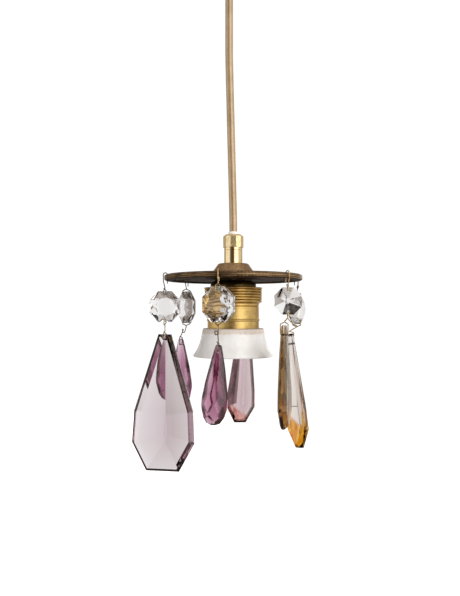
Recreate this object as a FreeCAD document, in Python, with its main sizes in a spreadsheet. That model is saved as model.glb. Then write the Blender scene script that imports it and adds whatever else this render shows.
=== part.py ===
import FreeCAD, Part
import Sketcher
import math
import os
import re

# One-light pendant hung with old crystal drops. Millimetres and degrees, +Z up, +Y to the back.
# The row's origin is where the cable is held, near its top. Everything is drawn in the lamp's own
# frame, whose origin is the middle of the disc's underside, and then hung below the cable's grip.

Vector = FreeCAD.Vector
UP = Vector(0, 0, 1)

SIZES = {
    # cable and where the lamp hangs from it
    "hang_height": 190, "lamp_offset": 2.9, "cable_radius": 2.75, "cable_top": 210, "clamp_bottom": 155,
    "bare_core": 9, "bare_copper": 6, "cable_bend": 800, "sheath_end": 14, "grip_entry": 42,
    "core_radius": 1.0, "copper_radius": 0.5, "core_spacing": 1.18,
    # cord grip
    "grip_radius": 6.45, "grip_top": 23.1, "neck_radius": 5.5, "neck_top": 29.4, "nut_flats": 14.1,
    "nut_sides": 12, "nut_height": 9.1, "nut_chamfer": 1.5, "nut_hole": 3.5, "collet_radius": 3.42,
    "collet_top": 34.3, "collet_wide": 4.5, "grip_groove": 0.25,
    # threaded nipple and its locknut
    "nipple_radius": 5.0, "nipple_bore": 3.4, "nipple_top": 19, "nipple_end": 4.6, "fit_gap": 0.06,
    "locknut_flats": 12.7, "locknut_height": 2.6,
    # crystal disc
    "rim_radius": 48.3, "rim_height": 4.0, "rim_band": 5.2, "reed_depth": 0.4, "reed_round": 0.64,
    "reed_pitch": 1.1, "reed_start": 0.35, "boss_radius": 13.0, "plate_low": 1.0,
    "plate_high": 3.3, "hub_top": 12.0, "hub_top_radius": 10.4, "hub_foot_radius": 17.6,
    "hole_circle": 46.3, "hook_hole": 0.95, "rim_crown": 0.55,
    # lampholder, heights counted down from the disc
    "cap_radius": 16.0, "cap_wall": 0.9, "cap_dome": 3.5, "cap_end": 9.0,
    "collar_start": 4.8, "collar_radius": 20.1, "collar_lip": 1.2, "thread_depth": 0.7, "thread_round": 0.95,
    "thread_pitch": 1.84,
    "sleeve_radius": 18.0, "sleeve_wall": 0.8, "bead_level": 27.3, "bead_size": 0.8, "sleeve_end": 39.5,
    "groove_level": 17.8, "groove_size": 0.5,
    "core_top": 12.0, "core_floor": 18.0, "core_end": 38.5, "core_outer": 16.9, "shell_outer": 13.9,
    "shell_land": 12.25, "shell_end": 38.0, "shell_pitch": 3.63, "shell_root": 13.1, "shell_lead": 0.9,
    "wire_hole": 3.2, "terminal_reach": 9.0, "terminal_width": 4.0, "terminal_height": 2.9, "strip": 0.7,
    "strip_width": 3.2, "screw_offset": 4.3, "screw_radius": 1.0, "screw_head": 1.9, "screw_head_height": 1.3,
    # porcelain ring
    "ring_start": 33.1, "ring_end": 52.7, "ring_top_radius": 21.3, "ring_waist": 22.9, "ring_waist_level": 41,
    "ring_mouth": 28.2, "ring_wall": 2.5, "ring_flare": 27, "ring_fit": 0.1, "ring_lip": 0.9,
    # wire; each hook goes through the disc and over its rim, and its bends meet above the rim
    "wire_radius": 0.35, "wire_bend": 0.55, "hole_radius": 0.75, "saddle": 1.43, "saddle_centre": 47.73,
    "saddle_rise": 0.95, "chain_circle": 48.0, "tail": 2.4, "wire_gap": 0.25,
    # octagon beads
    "bead_thickness": 9.6, "bead_girdle": 2.6, "bead_hole_inset": 2.0,
}

# each chain: where it hangs, its bead (flats across, height of the upper hole, way it faces) and its
# drop (fall of the hole below the bead, sideways shift, way it faces, sideways tilt); curl and hook_curl are
# the widths of small turns in its link and hook, splay spreads the link's eye, and tail leads the link's
# loose end away
CHAINS = {
    "a": {"azimuth": 194, "flats": 21.0, "top": -9.6, "face": 262, "fall": 12.9, "turn": 264, "tilt": -1.0,
          "splay": 1.0},
    "b": {"azimuth": 137, "flats": 23.7, "top": -8.2, "face": 212, "fall": 18.0, "turn": 250, "tilt": 1.0,
          "shift": -4.2, "curl": 2.4},
    "c": {"azimuth": 258.5, "flats": 22.4, "top": -7.9, "face": 240, "fall": 20.4, "turn": 262, "tilt": -4.3,
          "curl": 2.2},
    "d": {"azimuth": 80, "flats": 21.5, "top": -9.0, "face": 255, "fall": 19.4, "turn": 290, "tilt": -3.0},
    "e": {"azimuth": 317, "flats": 17.6, "top": -7.9, "face": 272, "fall": 15.0, "turn": 341, "tilt": 0.0,
          "shift": -2.4, "tail": [(-0.9, -3.4), (0.8, -6.0), (3.0, -8.0), (5.6, -9.2)]},
    "f": {"azimuth": 17, "flats": 21.2, "top": -11.2, "face": 328, "fall": 16.4, "turn": 222, "tilt": 7.0,
          "shift": -4.6, "hook_curl": 1.7},
}

# kite drops: half-width and level of the top edge, shoulder, widest point and foot; the front and back are
# ground in rings from the girdle inwards, each ring a width and a rise, and thin out above the shoulder to
# a share of their height; the hole's depth below the top
KITES = {
    "a": {"top": 4.4, "shoulder": 20.3, "shoulder_level": 52.5, "widest": 21.5, "widest_level": 74,
          "foot": 11.4, "length": 93, "front": [(2.2, 2.8)], "back": [(4.2, 3.2), (15.6, 7.6)],
          "thin": 0.85, "hole": 2.6},
    "d": {"top": 6.0, "shoulder": 10.9, "shoulder_level": 40, "widest": 11.4, "widest_level": 52,
          "foot": 4.6, "length": 64.2, "front": [(2.0, 1.5), (8.4, 2.3)], "back": [(2.6, 2.6), (7.0, 2.4)],
          "thin": 0.75, "hole": 2.8},
    "e": {"top": 2.0, "shoulder": 9.4, "shoulder_level": 41, "widest": 10.2, "widest_level": 55,
          "foot": 3.4, "length": 67, "front": [(3.0, 2.4)], "back": [(2.2, 1.6), (5.0, 1.2)],
          "thin": 0.45, "hole": 6.2},
    "f": {"top": 3.0, "shoulder": 8.6, "shoulder_level": 52, "widest": 9.6, "widest_level": 68.5,
          "foot": 3.2, "length": 81.5, "front": [(3.2, 3.0)], "back": [(3.2, 2.8), (5.0, 2.0)],
          "thin": 0.50, "hole": 7.4},
}

# almond drops: length, greatest half-width and half-thickness, how far down that is as a share of the
# length, how blunt the top is as a share of the half-width, hole
ALMONDS = {
    "b": {"length": 49, "wide": 8.0, "thick": 5.2, "belly": 0.68, "blunt": 0.22, "hole": 4.2},
    "c": {"length": 50, "wide": 8.1, "thick": 5.2, "belly": 0.70, "blunt": 0.22, "hole": 4.4},
}

document = FreeCAD.newDocument("pendant")
sheet = document.addObject("Spreadsheet::Sheet", "sizes")
row = 0
for alias, number in SIZES.items():
    row += 1
    sheet.set(f"A{row}", alias)
    sheet.set(f"B{row}", str(number))
    sheet.setAlias(f"B{row}", alias)
document.recompute()

pieces = []


def size(alias):
    """A driving dimension, as a plain number."""
    return float(sheet.get(alias))


def bound(text):
    """An expression on the sheet's cells, from text that names them by alias."""
    return re.sub(r"[a-z]\w+", lambda word: f"sizes.{word[0]}", text)


def keep(piece, label):
    """Name a finished piece and hang it in the lamp's place under the cable's grip."""
    piece.Label = label
    piece.setExpression("Placement.Base.x", bound("lamp_offset"))
    piece.setExpression("Placement.Base.z", bound("-hang_height"))
    pieces.append(piece)
    return piece


# ---------------------------------------------------------------- turned and machined metal and porcelain


def plane_of(body, role):
    return next(f for f in body.Origin.OriginFeatures if f.Role == role)


def outline_sketch(body, name, points, role="XZ_Plane"):
    """A closed sketch through points, each a pair of expressions, or (x, y, radius) when an arc of
    that radius leads on to the next point: a positive radius bulges to the left of the way there."""
    sketch = body.newObject("Sketcher::SketchObject", name)
    sketch.AttachmentSupport = [(plane_of(body, role), "")]
    sketch.MapMode = "FlatFace"
    places = [Vector(*(float(sketch.evalExpression(bound(c))) for c in point[:2]), 0) for point in points]
    ends = []
    for index, (point, here) in enumerate(zip(points, places)):
        there = places[(index + 1) % len(places)]
        if len(point) == 3:
            radius = float(sketch.evalExpression(bound(point[2])))
            chord = there - here
            left = Vector(-chord.y, chord.x, 0).normalize()
            rise = abs(radius) - math.sqrt(radius ** 2 - (chord.Length / 2) ** 2)
            middle = (here + there) / 2 + left * math.copysign(rise, radius)
            edge = sketch.addGeometry(Part.Arc(here, middle, there), False)
            starts_here = sketch.getPoint(edge, 1).distanceToPoint(here) < 1e-6
            ends.append((edge, 1, 2) if starts_here else (edge, 2, 1))
        else:
            edge = sketch.addGeometry(Part.LineSegment(here, there), False)
            ends.append((edge, 1, 2))
    for index, (point, here) in enumerate(zip(points, places)):
        edge, start, end = ends[index]
        onward, onward_start, _ = ends[(index + 1) % len(ends)]
        sketch.addConstraint(Sketcher.Constraint("Coincident", edge, end, onward, onward_start))
        pins = (("DistanceX", "x", here.x, point[0]), ("DistanceY", "y", here.y, point[1]))
        for kind, letter, value, text in pins:
            constraint = sketch.addConstraint(Sketcher.Constraint(kind, -1, 1, edge, start, value))
            sketch.renameConstraint(constraint, f"{letter}{index}")
            sketch.setExpression(f"Constraints.{letter}{index}", bound(text))
        if len(point) == 3:
            radius = abs(float(sketch.evalExpression(bound(point[2]))))
            constraint = sketch.addConstraint(Sketcher.Constraint("Radius", edge, radius))
            sketch.renameConstraint(constraint, f"radius{index}")
            sketch.setExpression(f"Constraints.radius{index}", bound(point[2].lstrip("-")))
    return sketch


def turned(label, points):
    """A body turned on a lathe: its half-section is a list of (radius, height) expressions."""
    body = document.addObject("PartDesign::Body", label)
    sketch = outline_sketch(body, f"{label}_section", points)
    turning = body.newObject("PartDesign::Revolution", f"{label}_turning")
    turning.Profile = sketch
    turning.ReferenceAxis = (sketch, ["V_Axis"])
    turning.Angle = 360
    sketch.Visibility = False
    return body


def bored_prism(label, sides, flats, low, height, cuts):
    """A regular prism of the given flats, standing on the level low, with turned cuts taken out of it."""
    body = document.addObject("PartDesign::Body", label)
    turn = math.pi / sides
    corners = [
        (f"{flats} * {math.cos(2 * turn * k + turn) / math.cos(turn) / 2}",
         f"{flats} * {math.sin(2 * turn * k + turn) / math.cos(turn) / 2}")
        for k in range(sides)
    ]
    sketch = outline_sketch(body, f"{label}_flats", corners, "XY_Plane")
    sketch.setExpression("AttachmentOffset.Base.z", bound(low))
    pad = body.newObject("PartDesign::Pad", f"{label}_bar")
    pad.Profile = sketch
    pad.setExpression("Length", bound(height))
    for number, points in enumerate(cuts):
        section = outline_sketch(body, f"{label}_cut_{number}", points)
        groove = body.newObject("PartDesign::Groove", f"{label}_turned_{number}")
        groove.Profile = section
        groove.ReferenceAxis = (section, ["V_Axis"])
        groove.Angle = 360
        document.recompute()
        if groove.Shape.Volume >= groove.BaseFeature.Shape.Volume:
            raise RuntimeError(f"{label}: cut {number} removes nothing")
    return body


def cord_grip():
    bore = "cable_radius + 0.3"
    seat = "collet_wide + 0.1"
    thread = "nipple_radius + fit_gap"
    keep(turned("grip_body", [
        (thread, "hub_top + fit_gap"), ("grip_radius", "hub_top + fit_gap"),
        ("grip_radius", "grip_top - 1.9"), ("grip_radius - grip_groove", "grip_top - 1.7"),
        ("grip_radius", "grip_top - 1.5"),
        ("grip_radius", "grip_top"), ("neck_radius", "grip_top"), ("neck_radius", "neck_top"),
        (seat, "neck_top"), (seat, "grip_top"), (bore, "grip_top - 2"), (bore, "nipple_top + 0.3"),
        (thread, "nipple_top + 0.3")]), "cord_grip_body")

    low = "grip_top + fit_gap"
    high = "grip_top + fit_gap + nut_height"
    wide = "neck_radius + fit_gap"
    nut_bore = [("0", f"{low} - 1"), (wide, f"{low} - 1"), (wide, f"{high} - 2.6"),
                ("nut_hole", f"{high} - 1.2"), ("nut_hole", f"{high} + 1"), ("0", f"{high} + 1")]
    crown = [("nut_flats / 2 - nut_chamfer", f"{high} + 0.1"),
             ("nut_flats / 2 + 0.4", f"{high} - nut_chamfer"),
             ("nut_flats / 2 + 1", f"{high} - nut_chamfer"), ("nut_flats / 2 + 1", f"{high} + 0.1")]
    foot = [("nut_flats / 2 - 0.15", f"{low} - 0.1"), ("nut_flats / 2 + 0.4", f"{low} + 0.35"),
            ("nut_flats / 2 + 1", f"{low} + 0.35"), ("nut_flats / 2 + 1", f"{low} - 0.1")]
    sides = int(size("nut_sides"))
    nut = bored_prism("grip_nut", sides, "nut_flats", low, "nut_height", [nut_bore, crown, foot])
    keep(nut, "cord_grip_nut")

    hold = "cable_radius + 0.02"
    keep(turned("collet", [
        (hold, "grip_top + 0.5"), ("collet_wide - 0.6", "grip_top + 0.5"), ("collet_wide", "grip_top + 1.3"),
        ("collet_wide", "neck_top - 0.4"), ("collet_radius", "neck_top + 1.4"),
        ("collet_radius", "collet_top - 0.5"), ("collet_radius - 0.3", "collet_top"), (hold, "collet_top")]),
        "cord_grip_collet")


def nipple():
    keep(turned("nipple_tube", [
        ("nipple_bore", "-nipple_end"), ("nipple_radius - 0.5", "-nipple_end"),
        ("nipple_radius", "0.5 - nipple_end"), ("nipple_radius", "nipple_top - 0.5"),
        ("nipple_radius - 0.5", "nipple_top"), ("nipple_bore", "nipple_top")]), "threaded_nipple")
    low = "-cap_wall - 3 * fit_gap - locknut_height"
    bore = [("0", f"{low} - 1"), ("nipple_radius + fit_gap", f"{low} - 1"),
            ("nipple_radius + fit_gap", "1"), ("0", "1")]
    keep(bored_prism("locknut", 6, "locknut_flats", low, "locknut_height", [bore]), "nipple_locknut")


def crystal_disc():
    """The cast disc: a flat plate with a conical hub, a boss for the cap and a thick rim with three reeds."""
    band = "rim_radius - rim_band"
    valley = "rim_radius - reed_depth"
    inner = "rim_radius - reed_depth - rim_crown"
    reeds = [(inner, "reed_start", "-reed_round"), (valley, "reed_start + reed_pitch", "-reed_round"),
             (valley, "reed_start + 2 * reed_pitch", "-reed_round")]
    body = turned("disc", [
        ("nipple_radius + fit_gap", "0"), ("boss_radius", "0"), ("boss_radius + 0.6", "plate_low"),
        (f"{band} - 0.6", "plate_low"), (band, "0"), (f"{inner} - 0.4", "0"), *reeds,
        (inner, "reed_start + 3 * reed_pitch"), (f"{inner} - 0.4", "rim_height"), (band, "rim_height"),
        (f"{band} - 0.9", "plate_high"), ("hub_foot_radius", "plate_high"),
        ("hub_foot_radius - 3.6", "hub_top - 5"),
        ("hub_top_radius + 0.4", "hub_top - 0.5"), ("hub_top_radius - 0.3", "hub_top"),
        ("nipple_radius + fit_gap", "hub_top")])
    document.recompute()
    whole = body.Shape.Volume
    for letter, chain in CHAINS.items():
        angle = math.radians(chain["azimuth"])
        sketch = body.newObject("Sketcher::SketchObject", f"hook_hole_{letter}_circle")
        sketch.AttachmentSupport = [(plane_of(body, "XY_Plane"), "")]
        sketch.MapMode = "FlatFace"
        centre = Vector(size("hole_circle") * math.cos(angle), size("hole_circle") * math.sin(angle), 0)
        circle = sketch.addGeometry(Part.Circle(centre, Vector(0, 0, 1), size("hook_hole")), False)
        places = (("DistanceX", "x", centre.x, math.cos(angle)),
                  ("DistanceY", "y", centre.y, math.sin(angle)))
        for kind, letter_name, value, share in places:
            constraint = sketch.addConstraint(Sketcher.Constraint(kind, -1, 1, circle, 3, value))
            sketch.renameConstraint(constraint, letter_name)
            sketch.setExpression(f"Constraints.{letter_name}", bound(f"hole_circle * {share}"))
        constraint = sketch.addConstraint(Sketcher.Constraint("Radius", circle, size("hook_hole")))
        sketch.renameConstraint(constraint, "radius")
        sketch.setExpression("Constraints.radius", bound("hook_hole"))
        hole = body.newObject("PartDesign::Pocket", f"hook_hole_{letter}")
        hole.Profile = sketch
        hole.Type = 1
        hole.Midplane = True
        sketch.Visibility = False
    document.recompute()
    if body.Shape.Volume > whole - 6 * math.pi * size("hook_hole") ** 2 * size("plate_high"):
        raise RuntimeError("the hook holes don't go through the disc")
    keep(body, "crystal_disc")


def lampholder_cap():
    bend = "cap_radius - cap_dome"
    turn_in = "-fit_gap - cap_dome"
    keep(turned("cap", [
        ("nipple_radius + fit_gap", "-fit_gap"), (bend, "-fit_gap", "cap_dome"), ("cap_radius", turn_in),
        ("cap_radius", "-cap_end"), ("cap_radius - cap_wall", "-cap_end"),
        ("cap_radius - cap_wall", turn_in, "-(cap_dome - cap_wall)"), (bend, "-fit_gap - cap_wall"),
        ("nipple_radius + fit_gap", "-fit_gap - cap_wall")]), "lampholder_cap")


def lampholder_sleeve():
    """The outer shell: a lip under the cap, five rings of coarse thread, a groove, a plain middle and a
    small bead."""
    valley = "collar_radius - thread_depth"
    first = "-collar_start - collar_lip"
    rings = [(valley, f"{first} - {k} * thread_pitch", "thread_round") for k in range(5)]
    end = f"{first} - 5 * thread_pitch"
    keep(turned("sleeve", [
        ("cap_radius + fit_gap", "-collar_start"), ("collar_radius + 0.1", "-collar_start"),
        ("collar_radius + 0.3", "-collar_start - 0.4"), ("collar_radius + 0.1", f"{first} + 0.3"), *rings,
        (valley, end), ("sleeve_radius + 0.4", f"{end} - 0.4"), ("sleeve_radius", f"{end} - 1"),
        ("sleeve_radius", "groove_size - groove_level"),
        ("sleeve_radius - 0.8 * groove_size", "-groove_level"),
        ("sleeve_radius", "-groove_level - groove_size"),
        ("sleeve_radius", "bead_size - bead_level", "1.05 * bead_size"),
        ("sleeve_radius", "-bead_level - bead_size"),
        ("sleeve_radius", "-sleeve_end"), ("sleeve_radius - sleeve_wall", "-sleeve_end"),
        ("sleeve_radius - sleeve_wall", f"{end} - 1.4"), (f"{valley} - sleeve_wall", f"{end} - 0.2"),
        (f"{valley} - sleeve_wall", f"{first} + 0.2"), ("cap_radius + fit_gap", f"{first} + 0.2")]),
        "lampholder_sleeve")


def ceramic_core():
    """The porcelain insert: a thick floor with a hole for the centre contact and a slot for the side one."""
    bore = "shell_outer + fit_gap"
    body = turned("insert", [
        ("wire_hole", "-core_top"), ("core_outer - 0.8", "-core_top"), ("core_outer", "-core_top - 0.8"),
        ("core_outer", "-core_end"), (bore, "-core_end"), (bore, "-core_floor"),
        ("wire_hole", "-core_floor")])
    half = "strip_width / 2 + 0.3"
    near = "shell_land - 0.5"
    far = "shell_land - 0.5 + strip + 0.3"
    slot = outline_sketch(body, "slot_outline", [
        (f"-({half})", f"-({far})"), (half, f"-({far})"), (half, f"-({near})"), (f"-({half})", f"-({near})")],
        "XY_Plane")
    document.recompute()
    whole = body.Shape.Volume
    pocket = body.newObject("PartDesign::Pocket", "contact_slot")
    pocket.Profile = slot
    pocket.Type = 1
    pocket.Midplane = True
    document.recompute()
    if body.Shape.Volume > whole - 10:
        raise RuntimeError("the contact slot doesn't go through the insert's floor")
    keep(body, "ceramic_core")


def screw_shell():
    """The inner shell with a round of lands and grooves standing in for the lamp thread."""
    top = "-core_floor - fit_gap"
    points = [("shell_outer", top), ("shell_outer", "-shell_end"), ("shell_root", "-shell_end")]
    for k in range(5):
        level = f"shell_lead - shell_end + {k} * shell_pitch"
        points += [("shell_land", level), ("shell_land", f"{level} + 1.3")]
        points += [("shell_root", f"{level} + 1.9"), ("shell_root", f"{level} + 2.9")]
    points.append(("shell_root", top))
    keep(turned("shell", points), "screw_shell")


def box(name, low, high):
    """A rectangular block between two corners, each given as three expressions."""
    block = document.addObject("Part::Box", name)
    for letter, side, a, b in zip("xyz", ("Length", "Width", "Height"), low, high):
        block.setExpression(f"Placement.Base.{letter}", bound(a))
        block.setExpression(side, bound(f"({b}) - ({a})"))
    return block


def rod(name, radius, x, y, low, high):
    """An upright cylinder at (x, y) between two levels."""
    cylinder = document.addObject("Part::Cylinder", name)
    cylinder.setExpression("Radius", bound(radius))
    cylinder.setExpression("Height", bound(f"({high}) - ({low})"))
    for letter, place in zip("xyz", (x, y, low)):
        cylinder.setExpression(f"Placement.Base.{letter}", bound(place))
    return cylinder


def joined(name, parts):
    fusion = document.addObject("Part::MultiFuse", name)
    fusion.Shapes = parts
    return fusion


def drilled(name, base, tools):
    cut = document.addObject("Part::Cut", name)
    cut.Base = base
    cut.Tool = joined(f"{name}_drills", tools) if len(tools) > 1 else tools[0]
    return cut


def contact(name, side, strips):
    """A contact: its terminal block stands on the insert, with a wire hole and a screw hole."""
    foot = "0.05 - core_top"
    head = "0.05 - core_top + terminal_height"
    y = f"{side} * terminal_reach"
    block = box(f"{name}_block", ("-3", f"{y} - terminal_width / 2", foot),
                ("screw_offset + 2.1", f"{y} + terminal_width / 2", head))
    whole = joined(f"{name}_solid", [block, *strips])
    below, above = f"{foot} - 1", f"{head} + 1"
    holes = [rod(f"{name}_wire_hole", "copper_radius + fit_gap", "0", y, below, above),
             rod(f"{name}_screw_hole", "screw_radius + fit_gap", "screw_offset", y, below, above)]
    return keep(drilled(f"{name}_drilled", whole, holes), name)


def contacts():
    foot = "0.05 - core_top"
    low = "-core_floor - 1.6"
    half = "strip_width / 2"
    centre = [
        box("centre_bridge", (f"-{half}", f"-{half}", foot),
            (half, "terminal_reach - terminal_width / 2 + 0.5", f"{foot} + strip")),
        box("centre_drop", (f"-{half}", f"-{half}", low), (half, f"strip - {half}", f"{foot} + strip")),
        box("centre_tongue", (f"-{half}", f"-{half}", low), (half, "3", f"{low} + strip")),
    ]
    contact("centre_contact", "1", centre)
    near = "0.35 - shell_land"
    side = [
        box("side_bridge", (f"-{half}", f"{near} - strip", foot),
            (half, "0.5 - terminal_reach - terminal_width / 2", f"{foot} + strip")),
        box("side_drop", (f"-{half}", f"{near} - strip", "0.03 - core_floor"),
            (half, near, f"{foot} + strip")),
    ]
    contact("side_contact", "-1", side)


def terminal_screws():
    screws = []
    top = "0.05 - core_top + terminal_height + 0.03"
    for name, side in (("near", "-1"), ("far", "1")):
        y = f"{side} * terminal_reach"
        shank = rod(f"{name}_shank", "screw_radius", "screw_offset", y, "0.2 - core_top", top)
        head = rod(f"{name}_head", "screw_head", "screw_offset", y, top, f"{top} + screw_head_height")
        slot = box(f"{name}_slot", ("screw_offset - 2.5", f"{y} - 0.3", f"{top} + 0.6"),
                   ("screw_offset + 2.5", f"{y} + 0.3", f"{top} + 2"))
        screws.append(drilled(f"{name}_screw", joined(f"{name}_blank", [shank, head]), [slot]))
    pair = document.addObject("Part::Compound", "screw_pair")
    pair.Links = screws
    keep(pair, "terminal_screws")


def porcelain_ring():
    fit = "sleeve_radius + ring_fit"
    lip = "ring_mouth - ring_wall"
    keep(turned("ring", [
        (fit, "-ring_start"), ("ring_top_radius - ring_lip", "-ring_start", "ring_lip"),
        ("ring_top_radius", "-ring_start - ring_lip"),
        ("ring_waist", "-ring_waist_level", "-ring_flare"),
        ("ring_mouth - 0.2", "ring_lip - ring_end", "ring_lip"),
        ("ring_mouth - ring_lip", "-ring_end"), (f"{lip} + 0.5", "-ring_end", "ring_lip"),
        (lip, "0.6 - ring_end", "ring_flare"), ("ring_waist - ring_wall - 0.5", "-ring_waist_level - 1.5"),
        (fit, "-ring_waist_level + 0.6")]), "porcelain_ring")


# ---------------------------------------------------------------- bent wire and cable


def bent_path(points, radius):
    """Straight runs between points, joined by round bends of one radius."""
    edges = []
    start = points[0]
    for before, corner, after in zip(points, points[1:], points[2:]):
        back = (before - corner).normalize()
        on = (after - corner).normalize()
        half = back.getAngle(on) / 2
        reach = radius / math.tan(half)
        toward = (back + on).normalize()
        middle = corner + toward * (radius / math.sin(half) - radius)
        edges.append(Part.makeLine(start, corner + back * reach))
        edges.append(Part.Arc(corner + back * reach, middle, corner + on * reach).toShape())
        start = corner + on * reach
    edges.append(Part.makeLine(start, points[-1]))
    return Part.Wire(edges)


def round_bar(points, bend, radius):
    """A round bar of the given radius along a bent path."""
    section = Part.Wire(Part.makeCircle(radius, points[0], points[1] - points[0]))
    return bent_path(points, bend).makePipeShell([section], True, False)


def piece_of(label, shape):
    """A sub-part whose shape is made directly, hung with the rest of the lamp."""
    feature = document.addObject("Part::Feature", label)
    feature.Label = label
    feature.Shape = shape
    hang = FreeCAD.Placement(Vector(size("lamp_offset"), 0, -size("hang_height")), FreeCAD.Rotation())
    feature.Placement = hang.multiply(shape.Placement)
    pieces.append(feature)
    return feature


def cable():
    """Round sheath with two cores: straight where it is held, then leaning a little to the lamp's axis.
    Below the nipple each core turns sideways over the insert and down into its terminal."""
    offset = size("lamp_offset")
    bend = size("cable_bend")
    top = size("cable_top")
    above_insert = -size("nipple_end") - 2.5
    block_top = size("terminal_height") + 0.05 - size("core_top")

    def long_run(y, low, high):
        return [Vector(-offset, y, high), Vector(-offset, y, size("clamp_bottom")),
                Vector(0, y, size("grip_entry")), Vector(0, y, low)]

    def core(side, high, low, radius):
        """The leaning run bends wide and the run to the terminal bends tight, so they are swept apart."""
        y = side * size("core_spacing")
        reach = side * size("terminal_reach")
        joint = Vector(0, y, 10)
        to_terminal = [joint, Vector(0, y, above_insert), Vector(0, reach, above_insert),
                       Vector(0, reach, low)]
        upper = round_bar(long_run(y, joint.z, high), bend, radius)
        lower = round_bar(to_terminal, 1.5, radius)
        return upper.fuse(lower).removeSplitter()

    sheath = round_bar(long_run(0, size("sheath_end"), top), bend, size("cable_radius"))
    past_ends = 40
    for side, name in ((1, "live"), (-1, "neutral")):
        bare = top + size("bare_core")
        sheath = sheath.cut(core(side, top + past_ends, block_top - 5, size("core_radius") + 0.03))
        insulation = core(side, bare, block_top + 0.1, size("core_radius"))
        copper_hole = core(side, top + past_ends, block_top - 5, size("copper_radius") + 0.02)
        strand = core(side, bare + size("bare_copper"), 0.15 - size("core_top"), size("copper_radius"))
        piece_of(f"{name}_core", insulation.cut(copper_hole))
        piece_of(f"{name}_strand", strand)
    piece_of("cable_sheath", sheath)


# ---------------------------------------------------------------- cut glass
# A gem is drawn standing in its own frame: X across, Z up, its face looking along -Y.

FRONT = Vector(0, -1, 0)
BACK = Vector(0, 1, 0)


def ground(gem, point, outward):
    """Grind a flat on the gem: everything past the plane through point is taken away."""
    reach = 400
    wheel = Part.makeBox(reach, reach, reach, Vector(-reach / 2, -reach / 2, 0))
    wheel.Placement = FreeCAD.Placement(point, FreeCAD.Rotation(UP, outward))
    return gem.cut(wheel)


def outward_edges(outline):
    """Each edge of a clockwise outline, with its outward direction in the gem's plane."""
    for a, b in zip(outline, outline[1:] + outline[:1]):
        along = b - a
        yield a, b, Vector(-along.z, 0, along.x).normalize()


def bevelled(gem, outline, side, level, slope, star=0):
    """Bevel one side of a flat gem at a slope that starts at a level over its outline. If star is set, grind
    a facet at each corner too, with that slope."""
    edges = list(outward_edges(outline))
    for corner, _, out in edges:
        gem = ground(gem, corner + side * level, (out * slope + side).normalize())
    for (_, corner, before), (_, _, after) in zip(edges, edges[1:] + edges[:1]):
        if star:
            out = (before + after).normalize()
            gem = ground(gem, corner + side * level, (out * star + side).normalize())
    return gem


def ringed(gem, outline, side, girdle, rings):
    """Grind one side of a gem in rings from the girdle inwards, each a width and a rise."""
    inset, level = 0, girdle
    for width, rise in rings:
        slope = rise / width
        gem = bevelled(gem, outline, side, level - inset * slope, slope)
        inset += width
        level += rise
    return gem


def pierced(gem, level):
    """Drill a hole through the gem from front to back at the given height."""
    drill = Part.makeCylinder(size("hole_radius"), 60, Vector(0, -30, level), BACK)
    return gem.cut(drill).removeSplitter()


def slab(outline, front, back):
    """A flat blank of the given outline, from its front face to its back face."""
    face = Part.Face(Part.makePolygon([p + FRONT * front for p in [*outline, outline[0]]]))
    return face.extrude(BACK * (front + back))


def octagon_bead(flats, pointed):
    """An octagon with a hole near its top and its bottom; a pointed one has no table."""
    circum = flats / 2 / math.cos(math.pi / 8)
    corners = [Vector(circum * math.sin(math.pi / 8 + k * math.pi / 4), 0,
                      circum * math.cos(math.pi / 8 + k * math.pi / 4)) for k in range(8)]
    half = size("bead_thickness") / 2
    girdle = size("bead_girdle") / 2
    gem = slab(corners, half, half)
    slope = (half - girdle) / (flats * (0.46 if pointed else 0.24))
    for side in (FRONT, BACK):
        gem = bevelled(gem, corners, side, girdle, slope, 0 if pointed else slope / 1.34)
    hole = flats / 2 - size("bead_hole_inset")
    return pierced(pierced(gem, hole), -hole)


def kite_drop(cut):
    """A long flat kite: narrow top, shoulders, widest near the foot; its hole is at the origin."""
    top = cut["hole"]
    right = [Vector(cut["top"], 0, top), Vector(cut["shoulder"], 0, top - cut["shoulder_level"]),
             Vector(cut["widest"], 0, top - cut["widest_level"]), Vector(cut["foot"], 0, top - cut["length"])]
    outline = right + [Vector(-p.x, 0, p.z) for p in reversed(right)]
    girdle = 0.9
    thickness = {side: girdle + sum(rise for _, rise in cut[side]) for side in ("front", "back")}
    gem = slab(outline, thickness["front"], thickness["back"])
    for side, name in ((FRONT, "front"), (BACK, "back")):
        gem = ringed(gem, outline, side, girdle, cut[name])
        lean = thickness[name] * (1 - cut["thin"]) / cut["shoulder_level"]
        at_top = UP * top + side * (thickness[name] * cut["thin"])
        gem = ground(gem, at_top, (side + UP * lean).normalize())
    return pierced(gem, 0)


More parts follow.
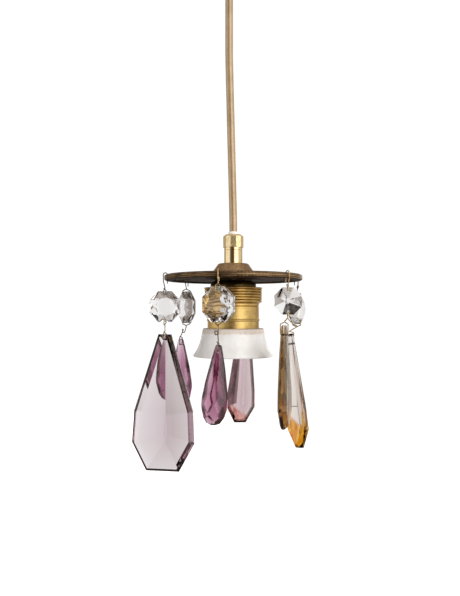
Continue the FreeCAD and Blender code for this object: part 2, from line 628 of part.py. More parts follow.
def almond_drop(cut):
    """A faceted almond: rings of flats that touch a teardrop with an oval section, blunt at its top and full
    at its foot; hole at the origin."""
    length, belly = cut["length"], cut["belly"] * cut["length"]
    wide, thick, blunt = cut["wide"], cut["thick"], cut["blunt"]
    below = length - belly
    sharpness, fullness = 1.35, 0.75
    sides = 10

    def ring(gem, stagger, level, girth, slope):
        for k in range(sides):
            angle = 2 * math.pi * (k + stagger / 2) / sides
            around = Vector(math.cos(angle), math.sin(angle), 0)
            support = math.hypot(wide * math.cos(angle), thick * math.sin(angle))
            touch = around * (support * girth) + UP * (cut["hole"] - level)
            gem = ground(gem, touch, (around + UP * (slope * support)).normalize())
        return gem

    gem = Part.makeBox(4 * wide, 4 * wide, length, Vector(-2 * wide, -2 * wide, cut["hole"] - length))
    gem = ring(gem, 1, 0.6, blunt, 0.12)
    for share, stagger in [(0.10, 0), (0.38, 1), (0.64, 0), (0.86, 1)]:
        girth = blunt + (1 - blunt) * (1 - (1 - share) ** sharpness)
        slope = (1 - blunt) * sharpness * (1 - share) ** (sharpness - 1) / belly
        gem = ring(gem, stagger, share * belly, girth, slope)
    for share, stagger in [(0.02, 0), (0.16, 1), (0.30, 0), (0.42, 1)]:
        turn = share * math.pi
        slope = -fullness * math.sin(turn) * math.cos(turn) ** (fullness - 2) / below
        gem = ring(gem, stagger, belly + below * math.sin(turn), math.cos(turn) ** fullness, slope)
    return pierced(gem, 0)


# ---------------------------------------------------------------- the six chains


def reach_at_hole(gem, level):
    """How far the glass stands out in front of and behind the hole at a level, off the drilled edge."""
    beside = size("hole_radius") + 0.05
    probe = Part.makeLine(Vector(beside, -30, level), Vector(beside, 30, level))
    inside = gem.common(probe).BoundBox
    return max(-inside.YMin, inside.YMax)


def eye(hole, across, reach, lift, splay=0.0):
    """A wire eye through a hole: down one side of the glass, through it and up the other side."""
    aside = across.cross(UP)
    rise = UP * lift
    return [hole + across * reach + rise + aside * splay, hole + across * reach,
            hole - across * reach, hole - across * reach + rise - aside * splay]


def curl(start, aside, across, width):
    """One small turn in a hanging wire, level by level, stepping along the glass's normal as it goes."""
    step = across * 0.3
    return [start - UP * width, start - UP * width + aside * width + step,
            start + aside * width + step * 2, start + step * 3]


class Chain:
    """Where the pieces of one chain hang, worked out from its own sizes."""

    def __init__(self, letter):
        spec = CHAINS[letter]
        angle = math.radians(spec["azimuth"])
        self.letter = letter
        self.spec = spec
        self.out = Vector(math.cos(angle), math.sin(angle), 0)
        self.span = spec["flats"] - 2 * size("bead_hole_inset")
        self.upper = self.out * size("chain_circle") + UP * spec["top"]
        self.lower = self.upper - UP * self.span
        self.drop_hole = self.lower - UP * spec["fall"] + Vector(spec.get("shift", 0), 0, 0)
        self.bead_normal = self.facing(spec["face"])
        self.drop_normal = self.facing(spec["turn"])

    @staticmethod
    def facing(azimuth):
        return Vector(math.cos(math.radians(azimuth)), math.sin(math.radians(azimuth)), 0)

    @staticmethod
    def placed(gem, at, azimuth, tilt=0):
        """Stand a gem at a point, facing an azimuth; tilt degrees swing its foot to its right."""
        turn = FreeCAD.Rotation(UP, azimuth - 270).multiply(FreeCAD.Rotation(FRONT, tilt))
        gem.Placement = FreeCAD.Placement(at, turn)
        return gem

    def hook(self, reach):
        """Up through the disc's hole, over the rim, down outside it and into an eye through the bead."""
        radius = size("saddle")
        centre = size("saddle_centre")
        over = size("rim_height") + size("saddle_rise")
        stem = self.upper + UP * 4.0
        inner = self.out * (centre - radius)
        outer = self.out * (centre + radius)
        arch = [inner - UP * size("tail"), inner + UP * over, outer + UP * over,
                outer + UP * max(stem.z + 1.8, -0.4)]
        lift = size("bead_hole_inset") + 0.6
        across = self.bead_normal
        aside = across.cross(UP)
        turns = []
        if "hook_curl" in self.spec:
            turns = curl(arch[-1] + (stem - arch[-1]) * 0.35, aside, across, self.spec["hook_curl"])
        loop = eye(self.upper, across, reach, lift)
        ending = self.upper + UP * (lift + 1.3) + aside * 0.85
        return arch, [*turns, stem, *loop, ending]

    def link(self, bead_reach, drop_reach, drop_top, drop_shoulder):
        """An eye in the bead's lower hole, a stem, and an eye round the top of the drop. The drop's eye goes
        straight up beside the glass as far as drop_shoulder and then closes in over drop_top."""
        lift = size("bead_hole_inset") + 0.6
        across = self.bead_normal
        aside = across.cross(UP)
        loose = [self.lower + Vector(x, 0, z) + across * bead_reach for x, z in self.spec.get("tail", [])]
        start = loose[::-1] or [self.lower - UP * (lift + 1.3) + aside * 0.85]
        way_in = across if loose else across * -1
        upper_eye = eye(self.lower, way_in, bead_reach, -lift)
        neck = self.lower - UP * (lift + 1.5)
        foot = self.drop_hole + UP * (drop_top + 2.2)
        splay = self.spec.get("splay", 0.0)
        drop_eye = eye(self.drop_hole, self.drop_normal, drop_reach, drop_shoulder, splay)
        ending = self.drop_hole + UP * (drop_top + 1.8) + self.drop_normal.cross(UP) * 0.85
        stem = [neck, foot]
        if "curl" in self.spec:
            middle = neck + (foot - neck) * 0.35
            stem = [neck, *curl(middle, aside, across, self.spec["curl"]), foot]
        return [*start, *upper_eye, *stem, *drop_eye, ending]


def saddle_bar(arch, rest, radius):
    """The hook's arch over the rim bends wide and its eye bends tight, so they are swept apart and joined."""
    joint = Vector(arch[-1].x, arch[-1].y, size("rim_height") / 2 - 0.1)
    top = round_bar([*arch[:-1], joint], size("saddle") * 0.999, radius)
    bottom = round_bar([joint, arch[-1], *rest], size("wire_bend"), radius)
    return top.fuse(bottom).removeSplitter()


def hang_chain(letter):
    chain = Chain(letter)
    spec = chain.spec
    wire = size("wire_radius")
    spare = wire + size("wire_gap")

    bead = octagon_bead(spec["flats"], pointed=letter == "e")
    bead_reach = reach_at_hole(bead, chain.span / 2) + spare
    piece_of(f"bead_{letter}", chain.placed(bead, chain.upper - UP * chain.span / 2, spec["face"]))

    cut = KITES.get(letter) or ALMONDS[letter]
    drop = kite_drop(cut) if letter in KITES else almond_drop(cut)
    drop_reach = reach_at_hole(drop, 0) + spare
    piece_of(f"drop_{letter}", chain.placed(drop, chain.drop_hole, spec["turn"], spec["tilt"]))

    arch, rest = chain.hook(bead_reach)
    piece_of(f"hook_{letter}", saddle_bar(arch, rest, wire))
    # the link's eye closes in over the bevel of a thick drop, and only above the top of a slim one
    thick_top = cut.get("thin", 0) > 0.6
    shoulder = max(cut["hole"] - cut["front"][0][0], 1.2) + 0.4 if thick_top else cut["hole"] + 0.7
    path = chain.link(bead_reach, drop_reach, cut["hole"], shoulder)
    piece_of(f"link_{letter}", round_bar(path, size("wire_bend") * 0.9, wire))


cable()
cord_grip()
nipple()
crystal_disc()
lampholder_cap()
lampholder_sleeve()
ceramic_core()
contacts()
terminal_screws()
screw_shell()
porcelain_ring()
for chain_letter in CHAINS:
    hang_chain(chain_letter)

document.recompute()
for item in document.Objects:
    if "Invalid" in item.State or "Error" in item.State:
        raise RuntimeError(f"{item.Label}: {item.State}")
for piece in pieces:
    if piece.Shape.isNull() or not piece.Shape.isValid():
        raise RuntimeError(f"{piece.Label} has no valid shape")

os.makedirs("parts", exist_ok=True)
for piece in pieces:
    piece.Shape.exportStep(f"parts/{piece.Label}.step")
print(len(pieces), "pieces")
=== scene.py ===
import math

import bpy
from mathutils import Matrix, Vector


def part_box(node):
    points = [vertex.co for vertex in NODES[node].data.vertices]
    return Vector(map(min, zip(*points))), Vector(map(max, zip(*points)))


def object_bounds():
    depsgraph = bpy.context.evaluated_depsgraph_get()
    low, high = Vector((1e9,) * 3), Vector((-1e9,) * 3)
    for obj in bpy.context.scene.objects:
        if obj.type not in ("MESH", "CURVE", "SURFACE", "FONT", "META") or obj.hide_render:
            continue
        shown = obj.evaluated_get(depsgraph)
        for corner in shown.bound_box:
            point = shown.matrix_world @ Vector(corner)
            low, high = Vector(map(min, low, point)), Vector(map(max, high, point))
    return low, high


# A small pendant lamp hung with old cut-glass drops. The frame gives every shape; this script gives each
# piece its material and sets up a pale studio round it. Metres, +Z up, +Y to the back, seen from the front.

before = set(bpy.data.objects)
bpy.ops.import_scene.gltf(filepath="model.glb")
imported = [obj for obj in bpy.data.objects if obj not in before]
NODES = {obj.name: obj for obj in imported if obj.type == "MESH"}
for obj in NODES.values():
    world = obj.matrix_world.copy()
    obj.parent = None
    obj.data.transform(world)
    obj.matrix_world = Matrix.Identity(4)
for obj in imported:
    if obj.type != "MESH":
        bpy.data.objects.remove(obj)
cad_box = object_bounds()

MM = 0.001
disc_low, disc_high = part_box("crystal_disc")
LAMP_AXIS = (disc_low + disc_high) / 2
DISC_LEVEL = disc_low.z
DISC_MIDDLE = (LAMP_AXIS.x, LAMP_AXIS.y, DISC_LEVEL)
RIM_RADIUS = (disc_high.x - disc_low.x) / 2


# ---------------------------------------------------------------- building shaders


class Graph:
    """A shader tree under construction. Each method adds a node and returns the socket to read."""

    def __init__(self, tree):
        self.tree = tree
        tree.nodes.clear()

    def node(self, kind, inputs=None, **settings):
        made = self.tree.nodes.new("ShaderNode" + kind)
        for key, value in settings.items():
            setattr(made, key, value)
        for key, value in (inputs or {}).items():
            if isinstance(value, bpy.types.NodeSocket):
                self.tree.links.new(value, made.inputs[key])
            else:
                made.inputs[key].default_value = value
        return made

    def math(self, operation, a, b=0.0, c=0.0):
        return self.node("Math", {0: a, 1: b, 2: c}, operation=operation).outputs[0]

    def place(self, origin=(0, 0, 0)):
        """The shaded point in the row frame, measured from an origin."""
        spot = self.node("TexCoord").outputs["Object"]
        return self.node("VectorMath", {0: spot, 1: origin}, operation="SUBTRACT").outputs[0]

    def parts(self, vector):
        return self.node("SeparateXYZ", {0: vector}).outputs

    def radius(self, x, y):
        """The distance from the upright axis that x and y are measured from."""
        return self.math("SQRT", self.math("ADD", self.math("MULTIPLY", x, x), self.math("MULTIPLY", y, y)))

    def unrolled(self, x, y, z):
        """The distance from the lamp's axis, and a place whose first part runs round the disc's rim."""
        radius = self.radius(x, y)
        along = self.math("MULTIPLY", self.math("ARCTAN2", y, x), RIM_RADIUS)
        return radius, self.node("CombineXYZ", {0: along, 1: radius, 2: z}).outputs[0]

    def stretched(self, place, by):
        return self.node("VectorMath", {0: place, 1: by}, operation="MULTIPLY").outputs[0]

    def noise(self, place, size, detail=3.0, roughness=0.55):
        """Cloudy noise whose patches are about size metres across."""
        inputs = {"Vector": place, "Scale": 1 / size, "Detail": detail, "Roughness": roughness}
        return self.node("TexNoise", inputs).outputs[0]

    def specks(self, place, size):
        """The distance from the nearest of many scattered points about size metres apart."""
        inputs = {"Vector": place, "Scale": 1 / size, "Randomness": 1.0, "W": 0.0}
        return self.node("TexVoronoi", inputs, voronoi_dimensions="4D").outputs["Distance"]

    def cells(self, place, size):
        """A random value for each of many flat-sided cells about size metres across."""
        voronoi = self.node("TexVoronoi", {"Vector": place, "Scale": 1 / size, "Randomness": 1.0})
        return self.node("SeparateColor", {"Color": voronoi.outputs["Color"]}).outputs[0]

    def step(self, value, low, high, start=0.0, end=1.0):
        """Start below low, end above high, and a smooth rise between them."""
        inputs = {"Value": value, "From Min": low, "From Max": high, "To Min": start, "To Max": end}
        return self.node("MapRange", inputs, interpolation_type="SMOOTHSTEP").outputs[0]

    def mix(self, share, a, b):
        inputs = {0: share, 6: rgba(a), 7: rgba(b)}
        return self.node("Mix", inputs, data_type="RGBA").outputs[2]

    def blend(self, share, a, b):
        return self.node("Mix", {0: share, 2: a, 3: b}, data_type="FLOAT").outputs[0]

    def bump(self, height, depth, strength=1.0, normal=None):
        """Relief of the given depth in metres."""
        inputs = {"Height": height, "Distance": depth, "Strength": strength}
        if normal is not None:
            inputs["Normal"] = normal
        return self.node("Bump", inputs).outputs[0]

    def finish(self, inputs, volume=None):
        surface = self.node("BsdfPrincipled", inputs)
        output = self.node("OutputMaterial", {"Surface": surface.outputs[0]})
        if volume is not None:
            self.tree.links.new(volume, output.inputs["Volume"])


def rgba(colour):
    return colour if isinstance(colour, bpy.types.NodeSocket) else (*colour[:3], 1)


def material(name):
    made = bpy.data.materials.new(name)
    made.use_nodes = True
    return made, Graph(made.node_tree)


def paint(made, *names):
    """Give CAD nodes a material."""
    for name in names:
        NODES[name].data.materials.clear()
        NODES[name].data.materials.append(made)


# ---------------------------------------------------------------- cable and grip


def satin_sheath():
    """Gold satin flex: a lengthwise sheen with faint waves from the cores twisted inside it."""
    made, g = material("gold_satin_sheath")
    place = g.place()
    streaks = g.noise(g.stretched(place, (1, 1, 0.02)), 0.35 * MM, 2)
    cloud = g.noise(place, 9 * MM, 2)
    gold = g.mix(g.step(streaks, 0.3, 0.7), (0.40, 0.265, 0.14), (0.52, 0.37, 0.21))
    gold = g.mix(g.step(cloud, 0.35, 0.7, 0, 0.35), gold, (0.30, 0.19, 0.09))
    waves = g.noise(g.stretched(place, (1, 1, 0.35)), 4 * MM, 1)
    relief = g.bump(g.math("ADD", waves, g.math("MULTIPLY", streaks, 0.08)), 0.10 * MM)
    g.finish({"Base Color": gold, "Metallic": 0.45, "Roughness": g.step(streaks, 0.2, 0.8, 0.30, 0.42),
              "Normal": relief, "Coat Weight": 0.9, "Coat Roughness": 0.22})
    return made


def insulation(name, colour):
    made, g = material(name)
    place = g.place()
    dust = g.noise(place, 0.8 * MM)
    shade = g.mix(g.step(dust, 0.35, 0.75), colour, [0.6 * c + 0.04 for c in colour])
    g.finish({"Base Color": shade, "Roughness": g.step(dust, 0.3, 0.7, 0.28, 0.5),
              "Normal": g.bump(dust, 0.02 * MM)})
    return made


def stranded_copper():
    made, g = material("stranded_copper")
    place = g.place()
    x, y, z = g.parts(place)
    radians_per_metre = 900
    strand_count = 7
    twist = g.math("ADD", g.math("ARCTAN2", y, x), g.math("MULTIPLY", z, radians_per_metre))
    strands = g.math("SINE", g.math("MULTIPLY", twist, strand_count))
    tarnish = g.noise(place, 1.2 * MM)
    copper = g.mix(g.step(tarnish, 0.4, 0.7), (0.80, 0.36, 0.20), (0.42, 0.17, 0.09))
    g.finish({"Base Color": copper, "Metallic": 1.0, "Roughness": 0.28,
              "Normal": g.bump(strands, 0.06 * MM)})
    return made


def nylon():
    """Milky moulded nylon, a little rubbed where the flex passes."""
    made, g = material("white_nylon")
    place = g.place()
    cloud = g.noise(place, 1.5 * MM)
    white = g.mix(g.step(cloud, 0.3, 0.8), (0.86, 0.86, 0.84), (0.74, 0.73, 0.70))
    g.finish({"Base Color": white, "Roughness": g.step(cloud, 0.3, 0.7, 0.3, 0.5), "Subsurface Weight": 0.3,
              "Subsurface Radius": (1.2 * MM, 1.1 * MM, 1.0 * MM), "Normal": g.bump(cloud, 0.03 * MM)})
    return made


def polished_brass(name, dimples=0.0, roughness=0.08):
    """Bright lathe-turned brass: fine rings from the tool, fingerprints, a few small scratches, and dimples
    of the given depth pressed into it. The fingerprints are rougher than the given roughness."""
    made, g = material(name)
    place = g.place()
    rings = g.noise(g.stretched(place, (0.02, 0.02, 1)), 0.12 * MM, 2)
    smudge = g.noise(place, 3 * MM, 3)
    scratch = g.noise(g.stretched(place, (1, 1, 0.1)), 0.3 * MM, 1)
    brass = g.mix(g.step(smudge, 0.35, 0.75), (0.87, 0.70, 0.41), (0.78, 0.59, 0.29))
    relief = g.bump(g.math("ADD", rings, g.math("MULTIPLY", scratch, 0.3)), 0.012 * MM)
    if dimples:
        relief = g.bump(g.specks(place, 0.8 * MM), dimples, 1.0, relief)
    printed = g.step(smudge, 0.3, 0.75, roughness, roughness + 0.12)
    g.finish({"Base Color": brass, "Metallic": 1.0, "Roughness": printed, "Normal": relief})
    return made


# ---------------------------------------------------------------- disc and lampholder


def patinated_bronze():
    """Cast bronze gone brown: streaky skin drawn out along the reeds, coppery patches, small pits, and metal
    rubbed bright on the hub. The crests of the reeds are painted brass, rubbed wear and painted highlight
    together, and the right side is painted lighter, a painted key light from the right. Under the plate the
    skin is duller and painted darker: dull oxide, and painted shade."""
    made, g = material("patinated_bronze")
    place = g.place(DISC_MIDDLE)
    x, y, z = g.parts(place)
    radius, unrolled = g.unrolled(x, y, z)
    reed_foot = 47.1 * MM
    reed_crest = 48.15 * MM
    hub_foot = 3.6 * MM
    hub_radius = 17 * MM
    plate_underside = 1.05 * MM
    streaks = g.noise(g.stretched(unrolled, (0.14, 1, 1)), 0.9 * MM, 4)
    cast = g.noise(place, 2.0 * MM, 5)
    grain = g.noise(place, 0.5 * MM, 3)
    patches = g.noise(place, 8 * MM, 4)
    # Painted light: the disc is painted lighter towards its right side, standing in for the key light from
    # the right.
    painted_right_light = g.step(x, -14 * MM, 34 * MM, 0.28, 1.0)
    crest = g.step(radius, reed_crest - 0.4 * MM, reed_crest)
    # The reed crests painted brass: rubbed wear, and a painted highlight from the key light that is stronger
    # on the right.
    rubbed = g.math("MULTIPLY", g.math("MULTIPLY", crest, painted_right_light), g.step(streaks, 0.30, 0.62, 0.25, 1.0))
    hub = g.math("MULTIPLY", g.step(z, hub_foot, 6 * MM), g.step(radius, hub_radius + 5 * MM, hub_radius))
    lines = g.noise(g.stretched(unrolled, (0.04, 1, 1)), 0.5 * MM, 2)
    brown = g.mix(g.step(streaks, 0.38, 0.62), (0.040, 0.022, 0.011), (0.18, 0.098, 0.045))
    brown = g.mix(g.step(lines, 0.54, 0.66, 0, 0.55), brown, (0.36, 0.21, 0.10))
    brown = g.mix(g.step(patches, 0.50, 0.70, 0, 0.6), brown, (0.22, 0.115, 0.05))
    brown = g.mix(g.math("MULTIPLY", hub, g.step(cast, 0.3, 0.6, 0.45, 0.95)), brown, (0.36, 0.225, 0.11))
    # Painted light: the whole right side of the disc lightened.
    brown = g.mix(g.math("MULTIPLY", painted_right_light, 0.22), brown, (0.30, 0.19, 0.095))
    # Painted highlight and wear: brass on the reed crests.
    brown = g.mix(g.math("MULTIPLY", rubbed, 0.75), brown, (0.54, 0.36, 0.18))
    past_foot = g.step(radius, reed_foot, reed_foot + 0.2 * MM)
    short_of_crest = g.step(radius, reed_crest - 0.03 * MM, reed_crest - 0.27 * MM)
    grooves = g.math("MULTIPLY", past_foot, short_of_crest)
    brown = g.mix(g.math("MULTIPLY", grooves, 0.8), brown, (0.022, 0.012, 0.006))
    low = g.step(z, plate_underside + 0.25 * MM, plate_underside)
    below = g.math("MULTIPLY", low, g.step(radius, reed_foot + 0.3 * MM, reed_foot - 0.1 * MM))
    # Under the plate: dull oxide, painted darker still as painted shade beneath the plate.
    underside_shade_and_oxide = g.mix(g.step(patches, 0.42, 0.62), (0.028, 0.017, 0.009), (0.085, 0.050, 0.026))
    brown = g.mix(below, brown, underside_shade_and_oxide)
    pits = g.step(g.specks(place, 1.3 * MM), 0.10, 0.28)
    relief = g.bump(g.math("ADD", streaks, g.math("MULTIPLY", grain, 0.35)), 0.14 * MM)
    relief = g.bump(pits, 0.05 * MM, 0.6, relief)
    skin = g.blend(rubbed, g.step(grain, 0.3, 0.7, 0.40, 0.58), 0.28)
    g.finish({"Base Color": brown, "Metallic": g.blend(below, 0.85, 0.5), "Normal": relief,
              "Roughness": g.blend(below, skin, 0.7), "Specular IOR Level": g.blend(below, 0.5, 0.15)})
    return made


def old_brass(name, dark, light, tarnished):
    """Spun brass with satin wear: drawn rings, cloudy tarnish, and thin darker rings round it at random
    heights.
    """
    made, g = material(name)
    place = g.place(DISC_MIDDLE)
    rings = g.noise(g.stretched(place, (0.03, 0.03, 1)), 0.35 * MM, 3)
    cloud = g.noise(place, 5 * MM, 4)
    spots = g.noise(place, 0.9 * MM, 2)
    brass = g.mix(g.step(cloud, 0.32, 0.68), dark, light)
    brass = g.mix(g.step(spots, 0.60, 0.72, 0, 0.5), brass, tarnished)
    # Thin darker rings at random heights round the brass.
    brass = g.mix(g.step(rings, 0.52, 0.66, 0, 0.6), brass, tarnished)
    relief = g.bump(g.math("ADD", rings, g.math("MULTIPLY", spots, 0.3)), 0.05 * MM)
    g.finish({"Base Color": brass, "Metallic": 1.0, "Normal": relief,
              "Roughness": g.step(cloud, 0.3, 0.7, 0.30, 0.46)})
    return made


def bare_ceramic():
    made, g = material("bare_ceramic")
    place = g.place()
    grain = g.noise(place, 0.4 * MM, 4)
    stain = g.noise(place, 6 * MM)
    clay = g.mix(g.step(stain, 0.35, 0.7), (0.80, 0.77, 0.70), (0.62, 0.56, 0.46))
    g.finish({"Base Color": clay, "Roughness": 0.75, "Normal": g.bump(grain, 0.05 * MM)})
    return made


def glazed_porcelain():
    """White glaze over cream porcelain, with a bare, rubbed band round the top where the ring is gripped."""
    made, g = material("glazed_porcelain")
    ring_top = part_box("porcelain_ring")[1].z
    place = g.place((LAMP_AXIS.x, LAMP_AXIS.y, ring_top))
    z = g.parts(place)[2]
    cloud = g.noise(place, 7 * MM, 3)
    ripple = g.noise(g.stretched(place, (1, 1, 0.6)), 3.5 * MM, 1)
    grime = g.noise(place, 0.9 * MM, 4)
    edge = g.math("ADD", z, g.math("MULTIPLY", g.math("SUBTRACT", cloud, 0.5), 2.2 * MM))
    bare = g.step(edge, -4.3 * MM, -3.1 * MM)
    rim = g.step(z, -0.9 * MM, -0.1 * MM)
    white = g.mix(g.step(cloud, 0.35, 0.7), (0.84, 0.83, 0.81), (0.77, 0.75, 0.72))
    cream = g.mix(g.step(grime, 0.35, 0.7), (0.70, 0.61, 0.52), (0.55, 0.46, 0.38))
    body = g.mix(g.math("MULTIPLY", bare, 0.85), white, cream)
    body = g.mix(g.math("MULTIPLY", rim, 0.6), body, (0.40, 0.33, 0.26))
    body = g.mix(g.step(grime, 0.66, 0.78, 0, 0.35), body, (0.50, 0.45, 0.38))
    relief = g.bump(ripple, 0.10 * MM)
    relief = g.bump(grime, 0.06 * MM, bare, relief)
    g.finish({"Base Color": body, "Roughness": g.blend(bare, 0.24, 0.6), "Normal": relief,
              "Subsurface Weight": 0.15, "Subsurface Radius": (2 * MM, 1.6 * MM, 1.2 * MM),
              "Coat Weight": g.blend(bare, 0.35, 0.0), "Coat Roughness": 0.15})
    return made


# ---------------------------------------------------------------- wire and crystal


def wire(name, bright, dark):
    """Hand-bent wire: drawn along its length, darkened in patches."""
    made, g = material(name)
    place = g.place()
    tarnish = g.noise(place, 1.6 * MM, 3)
    drawn = g.noise(place, 0.15 * MM, 1)
    metal = g.mix(g.step(tarnish, 0.38, 0.62), bright, dark)
    g.finish({"Base Color": metal, "Metallic": 1.0, "Roughness": g.step(tarnish, 0.3, 0.7, 0.22, 0.42),
              "Normal": g.bump(drawn, 0.02 * MM)})
    return made


def crystal(name, passes, depth, bends=1.58, drop=None, zones=()):
    """Cut glass that lets the colour passes through after depth metres; old, so its facets wave a little,
    with fine wear on them. Each zone of a drop is (colour, toward, start, end): its facets take on the colour
    from start to end metres out from its middle, in the direction toward. Some zones are the richer colour of
    the glass there and some are painted shade or painted highlight. Inside every zone the colour is broken
    into
    painted glints: random cells of the zone colour and of a darker copy of it."""
    made, g = material(name)
    place = g.place()
    swirl = g.noise(place, 9 * MM, 2)
    wear = g.noise(place, 0.5 * MM, 3)
    losses = [-math.log(share) / depth for share in passes]
    densest = max(losses)
    colour = (*(1 - loss / densest for loss in losses), 1)
    body = g.node("VolumeAbsorption", {"Color": colour, "Density": densest}).outputs[0]
    # Painted glints: random cells where a zone takes a darker copy of its colour, standing in for the sparkle
    # of the facets.
    glints = g.cells(g.stretched(place, (1, 1, 0.4)), 3.2 * MM)
    surface = (1, 1, 1, 1)
    for rich, toward, start, end in zones:
        low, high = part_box(drop)
        from_middle = g.place((low + high) / 2)
        way = Vector(toward).normalized()
        out = g.node("VectorMath", {0: from_middle, 1: way}, operation="DOT_PRODUCT").outputs["Value"]
        streak = g.noise(g.stretched(place, (1, 1, 0.2)), 3.0 * MM, 2)
        out = g.math("ADD", out, g.math("MULTIPLY", g.math("SUBTRACT", streak, 0.5), (end - start) * 0.8))
        # A darker copy of the zone colour: painted shade for the glints.
        darker = [share ** 2 * 0.7 for share in rich]
        painted_glints = g.mix(g.step(glints, 0.4, 0.5), darker, rich)
        surface = g.mix(g.step(out, start, end), surface, painted_glints)
    g.finish({"Base Color": surface, "Transmission Weight": 1.0, "IOR": bends,
              "Roughness": g.step(wear, 0.62, 0.80, 0, 0.05), "Normal": g.bump(swirl, 0.006 * MM)}, body)
    return made


def soften(gem, width=0.14 * MM):
    """Round off a gem's ground edges a little, as years of handling do, so that they catch the light."""
    weld = gem.modifiers.new("weld", "WELD")
    weld.merge_threshold = 0.002 * MM
    flats = gem.modifiers.new("flats", "DECIMATE")
    flats.decimate_type = "DISSOLVE"
    flats.angle_limit = math.radians(0.5)
    worn = gem.modifiers.new("worn_edges", "BEVEL")
    worn.width = width
    worn.segments = 1
    worn.limit_method = "ANGLE"
    worn.angle_limit = math.radians(4)


# ---------------------------------------------------------------- studio


def lighting():
    """An even white surround for the camera; what the lamp reflects is a studio with a tall soft light to
    the right of the camera, pale walls to the left and behind, and darker gaps between them."""
    world = bpy.data.worlds.new("studio")
    bpy.context.scene.world = world
    world.use_nodes = True
    g = Graph(world.node_tree)
    x, y, z = g.parts(g.node("TexCoord").outputs["Generated"])
    # turns to the right from the camera's own direction: -180 .. 180 degrees as 0 .. 1
    turn = g.math("MULTIPLY_ADD", g.math("ARCTAN2", x, g.math("MULTIPLY", y, -1)), 0.5 / math.pi, 0.5)
    # the brightness of the walls at each angle, in degrees
    stops = [(-180, 0.90), (-164, 0.86), (-148, 0.80), (-138, 0.28), (-118, 0.30), (-106, 1.0), (-50, 1.1),
             (-34, 0.12), (8, 0.08), (20, 2.1), (56, 2.1), (68, 0.85), (122, 0.70), (130, 0.28), (143, 0.30),
             (150, 1.0), (166, 0.98), (180, 0.90)]
    walls, strongest = banded(g, turn, [(angle / 360 + 0.5, value) for angle, value in stops])
    level = g.math("MULTIPLY_ADD", g.math("ARCSINE", z), 1 / math.pi, 0.5)
    # how much of it is left at each height, from straight down at 0 to straight up at 1
    heights = [(0.0, 0.25), (0.27, 0.28), (0.36, 0.60), (0.42, 1.0), (0.66, 1.0), (0.72, 0.35), (0.78, 0.75),
               (1.0, 1.5)]
    dimming, top_share = banded(g, level, heights)
    glow = g.node("VectorMath", {0: walls, 1: dimming}, operation="MULTIPLY").outputs[0]
    around = g.node("Background", {"Color": glow, "Strength": strongest * top_share})
    plain = g.node("Background", {"Color": (1, 1, 1, 1), "Strength": 1.05})
    seen = g.node("LightPath").outputs["Is Camera Ray"]
    chosen = g.node("MixShader", {0: seen, 1: around.outputs[0], 2: plain.outputs[0]})
    g.node("OutputWorld", {"Surface": chosen.outputs[0]})


def banded(g, share, stops):
    """A run of values along 0 .. 1, from (share, value) pairs, with its highest value beside it. Values
    below 1 are a little warmer than white."""
    browning = (0, 0.14, 0.26)
    ramp = g.node("ValToRGB", {0: share})
    band = ramp.color_ramp
    while len(band.elements) < len(stops):
        band.elements.new(0.5)
    brightest = max(value for _, value in stops)
    for element, (position, value) in zip(band.elements, stops):
        warmth = min(value, 1)
        element.position = position
        element.color = [value * warmth ** brown / brightest for brown in browning] + [1]
    return ramp.outputs[0], brightest


def soft_light(name, place, width, power):
    """A wide soft light aimed at the lamp that lights only matt surfaces: the studio surround already gives
    the reflections."""
    data = bpy.data.lights.new(name, "AREA")
    data.size = width
    data.energy = power
    light = bpy.data.objects.new(name, data)
    light.location = place
    light.rotation_euler = (LAMP_AXIS - light.location).to_track_quat("-Z", "Y").to_euler()
    light.visible_glossy = False
    light.visible_transmission = False
    bpy.context.scene.collection.objects.link(light)


def floor():
    """A round pale floor well below the lamp, as bright as the surround where the two meet. It stays out of
    reflections, so that the studio alone decides what the glass shows."""
    reach = 3.0
    drop_to_floor = 0.45
    level = cad_box[0].z - drop_to_floor
    made, g = material("pale_floor")
    place = g.place((LAMP_AXIS.x, LAMP_AXIS.y, level))
    x, y, z = g.parts(place)
    away = g.radius(x, y)
    grain = g.noise(place, 50 * MM, 3)
    pale = g.mix(grain, (0.86, 0.86, 0.85), (0.90, 0.90, 0.89))
    g.finish({"Base Color": pale, "Roughness": 0.9, "Specular IOR Level": 0.1,
              "Emission Color": (1, 1, 1, 1), "Emission Strength": g.step(away, 0.1, 1.2, 0.5, 0.8),
              "Normal": g.bump(grain, 1 * MM)})
    bpy.ops.mesh.primitive_circle_add(vertices=96, radius=reach, fill_type="NGON",
                                      location=(LAMP_AXIS.x, LAMP_AXIS.y, level))
    sheet = bpy.context.object
    sheet.name = "floor"
    sheet.visible_glossy = False
    sheet.visible_transmission = False
    sheet.visible_diffuse = False
    sheet.visible_shadow = False
    sheet.data.materials.append(made)


def camera():
    """Level with the top of the drops, straight in front of the lamp."""
    distance = 0.423
    left_of_axis = 0.0023
    below_disc = 0.0231
    data = bpy.data.cameras.new("camera")
    data.lens = 36.5
    data.sensor_width = 36
    data.shift_y = 0.0268
    seen_from = bpy.data.objects.new("camera", data)
    seen_from.location = (LAMP_AXIS.x - left_of_axis, -distance, DISC_LEVEL - below_disc)
    seen_from.rotation_euler = (math.radians(90), 0, 0)
    bpy.context.scene.collection.objects.link(seen_from)
    bpy.context.scene.camera = seen_from


# ---------------------------------------------------------------- the whole

brass = polished_brass("polished_brass")
paint(satin_sheath(), "cable_sheath")
paint(insulation("brown_insulation", (0.16, 0.06, 0.03)), "live_core")
paint(insulation("blue_insulation", (0.03, 0.12, 0.42)), "neutral_core")
paint(stranded_copper(), "live_strand", "neutral_strand")
paint(nylon(), "cord_grip_collet")
paint(polished_brass("dimpled_brass", dimples=0.08 * MM, roughness=0.26), "cord_grip_nut")
paint(brass, "cord_grip_body", "threaded_nipple", "nipple_locknut", "terminal_screws")
paint(patinated_bronze(), "crystal_disc")
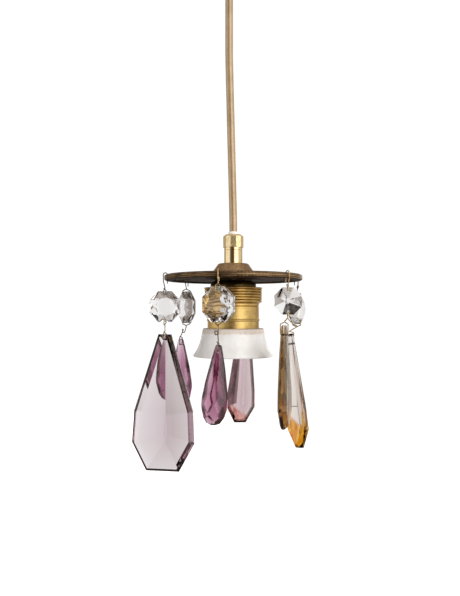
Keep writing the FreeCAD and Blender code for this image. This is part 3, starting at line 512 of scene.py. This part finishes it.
# The cap's brass colours are painted very dark: a painted shadow of the disc above it.
paint(old_brass("old_brass_cap_painted_shadow", (0.09, 0.052, 0.014), (0.16, 0.096, 0.028), (0.042, 0.024, 0.007)),
      "lampholder_cap")
paint(old_brass("old_brass_sleeve", (0.60, 0.395, 0.135), (0.80, 0.565, 0.20), (0.36, 0.22, 0.070)),
      "lampholder_sleeve")
paint(bare_ceramic(), "ceramic_core")
paint(old_brass("contact_bronze", (0.55, 0.36, 0.16), (0.66, 0.46, 0.23), (0.25, 0.14, 0.06)),
      "centre_contact", "side_contact", "screw_shell")
paint(glazed_porcelain(), "porcelain_ring")

bright_wire = wire("brass_wire", (0.80, 0.62, 0.33), (0.40, 0.26, 0.11))
dark_wire = wire("tarnished_wire", (0.30, 0.24, 0.18), (0.10, 0.075, 0.055))
paint(bright_wire, "hook_c", "hook_e", "link_a", "link_e", "link_f")
paint(dark_wire, "hook_a", "hook_b", "hook_d", "hook_f", "link_b", "link_c", "link_d")

clear = crystal("clear_crystal", (0.95, 0.945, 0.945), 10 * MM, bends=1.50)
for letter in "abcdef":
    paint(clear, f"bead_{letter}")
paint(crystal("smoky_lilac_crystal", (0.78, 0.705, 0.735), 11 * MM), "drop_a")
paint(crystal("mauve_crystal", (0.49, 0.22, 0.355), 9 * MM), "drop_b")
# Painted shade: the right side of drop C painted deeper purple.
painted_shade_right = ((0.52, 0.23, 0.36), (1, 0, 0.1), -0.5 * MM, 1.5 * MM)
paint(crystal("purple_crystal", (0.50, 0.24, 0.35), 9 * MM, drop="drop_c", zones=[painted_shade_right]), "drop_c")
# Painted shade: the left side of drop D painted greyer and darker.
shaded_side = ((0.52, 0.44, 0.47), (-1, 0, 0.12), 3.0 * MM, 4.0 * MM)
salmon_foot = ((0.95, 0.60, 0.52), (-0.8, 0, -1), 17 * MM, 20 * MM)
paint(crystal("pink_crystal", (0.68, 0.54, 0.58), 9 * MM, drop="drop_d", zones=[shaded_side, salmon_foot]),
      "drop_d")
amber_streak = ((0.80, 0.50, 0.17), (1, 0, 0), -3.4 * MM, -2.8 * MM)
# Painted highlight: a pale band across drop E between its amber streak and its right side.
painted_highlight_band = ((0.98, 0.95, 0.92), (1, 0, 0), -1.6 * MM, -1.2 * MM)
# Painted shade: drop E's right side painted dark olive-brown.
olive_painted_shade = ((0.38, 0.30, 0.16), (1, 0, 0), 0.0 * MM, 0.6 * MM)
brown_foot = ((0.86, 0.55, 0.18), (0.3, 0, -1), 14 * MM, 26 * MM)
paint(crystal("champagne_crystal", (0.76, 0.67, 0.55), 9 * MM, drop="drop_e",
              zones=[amber_streak, painted_highlight_band, olive_painted_shade, brown_foot]), "drop_e")
amber_foot = ((1, 0.56, 0.06), (-0.75, 0, -1), 16 * MM, 19 * MM)
paint(crystal("amber_crystal", (0.79, 0.72, 0.67), 9 * MM, drop="drop_f", zones=[amber_foot]), "drop_f")

for name, piece in NODES.items():
    if name.startswith(("bead", "drop")):
        soften(piece)

lighting()
soft_light("right_key", (LAMP_AXIS.x + 0.85, -0.75, DISC_LEVEL + 0.15), width=0.9, power=8.0)
soft_light("left_fill", (LAMP_AXIS.x - 1.0, -0.6, DISC_LEVEL - 0.1), width=0.9, power=3.5)
floor()
camera()

scene = bpy.context.scene
scene.view_settings.view_transform = "Standard"
bounces_through_glass = 24
scene.cycles.max_bounces = bounces_through_glass
scene.cycles.transmission_bounces = bounces_through_glass
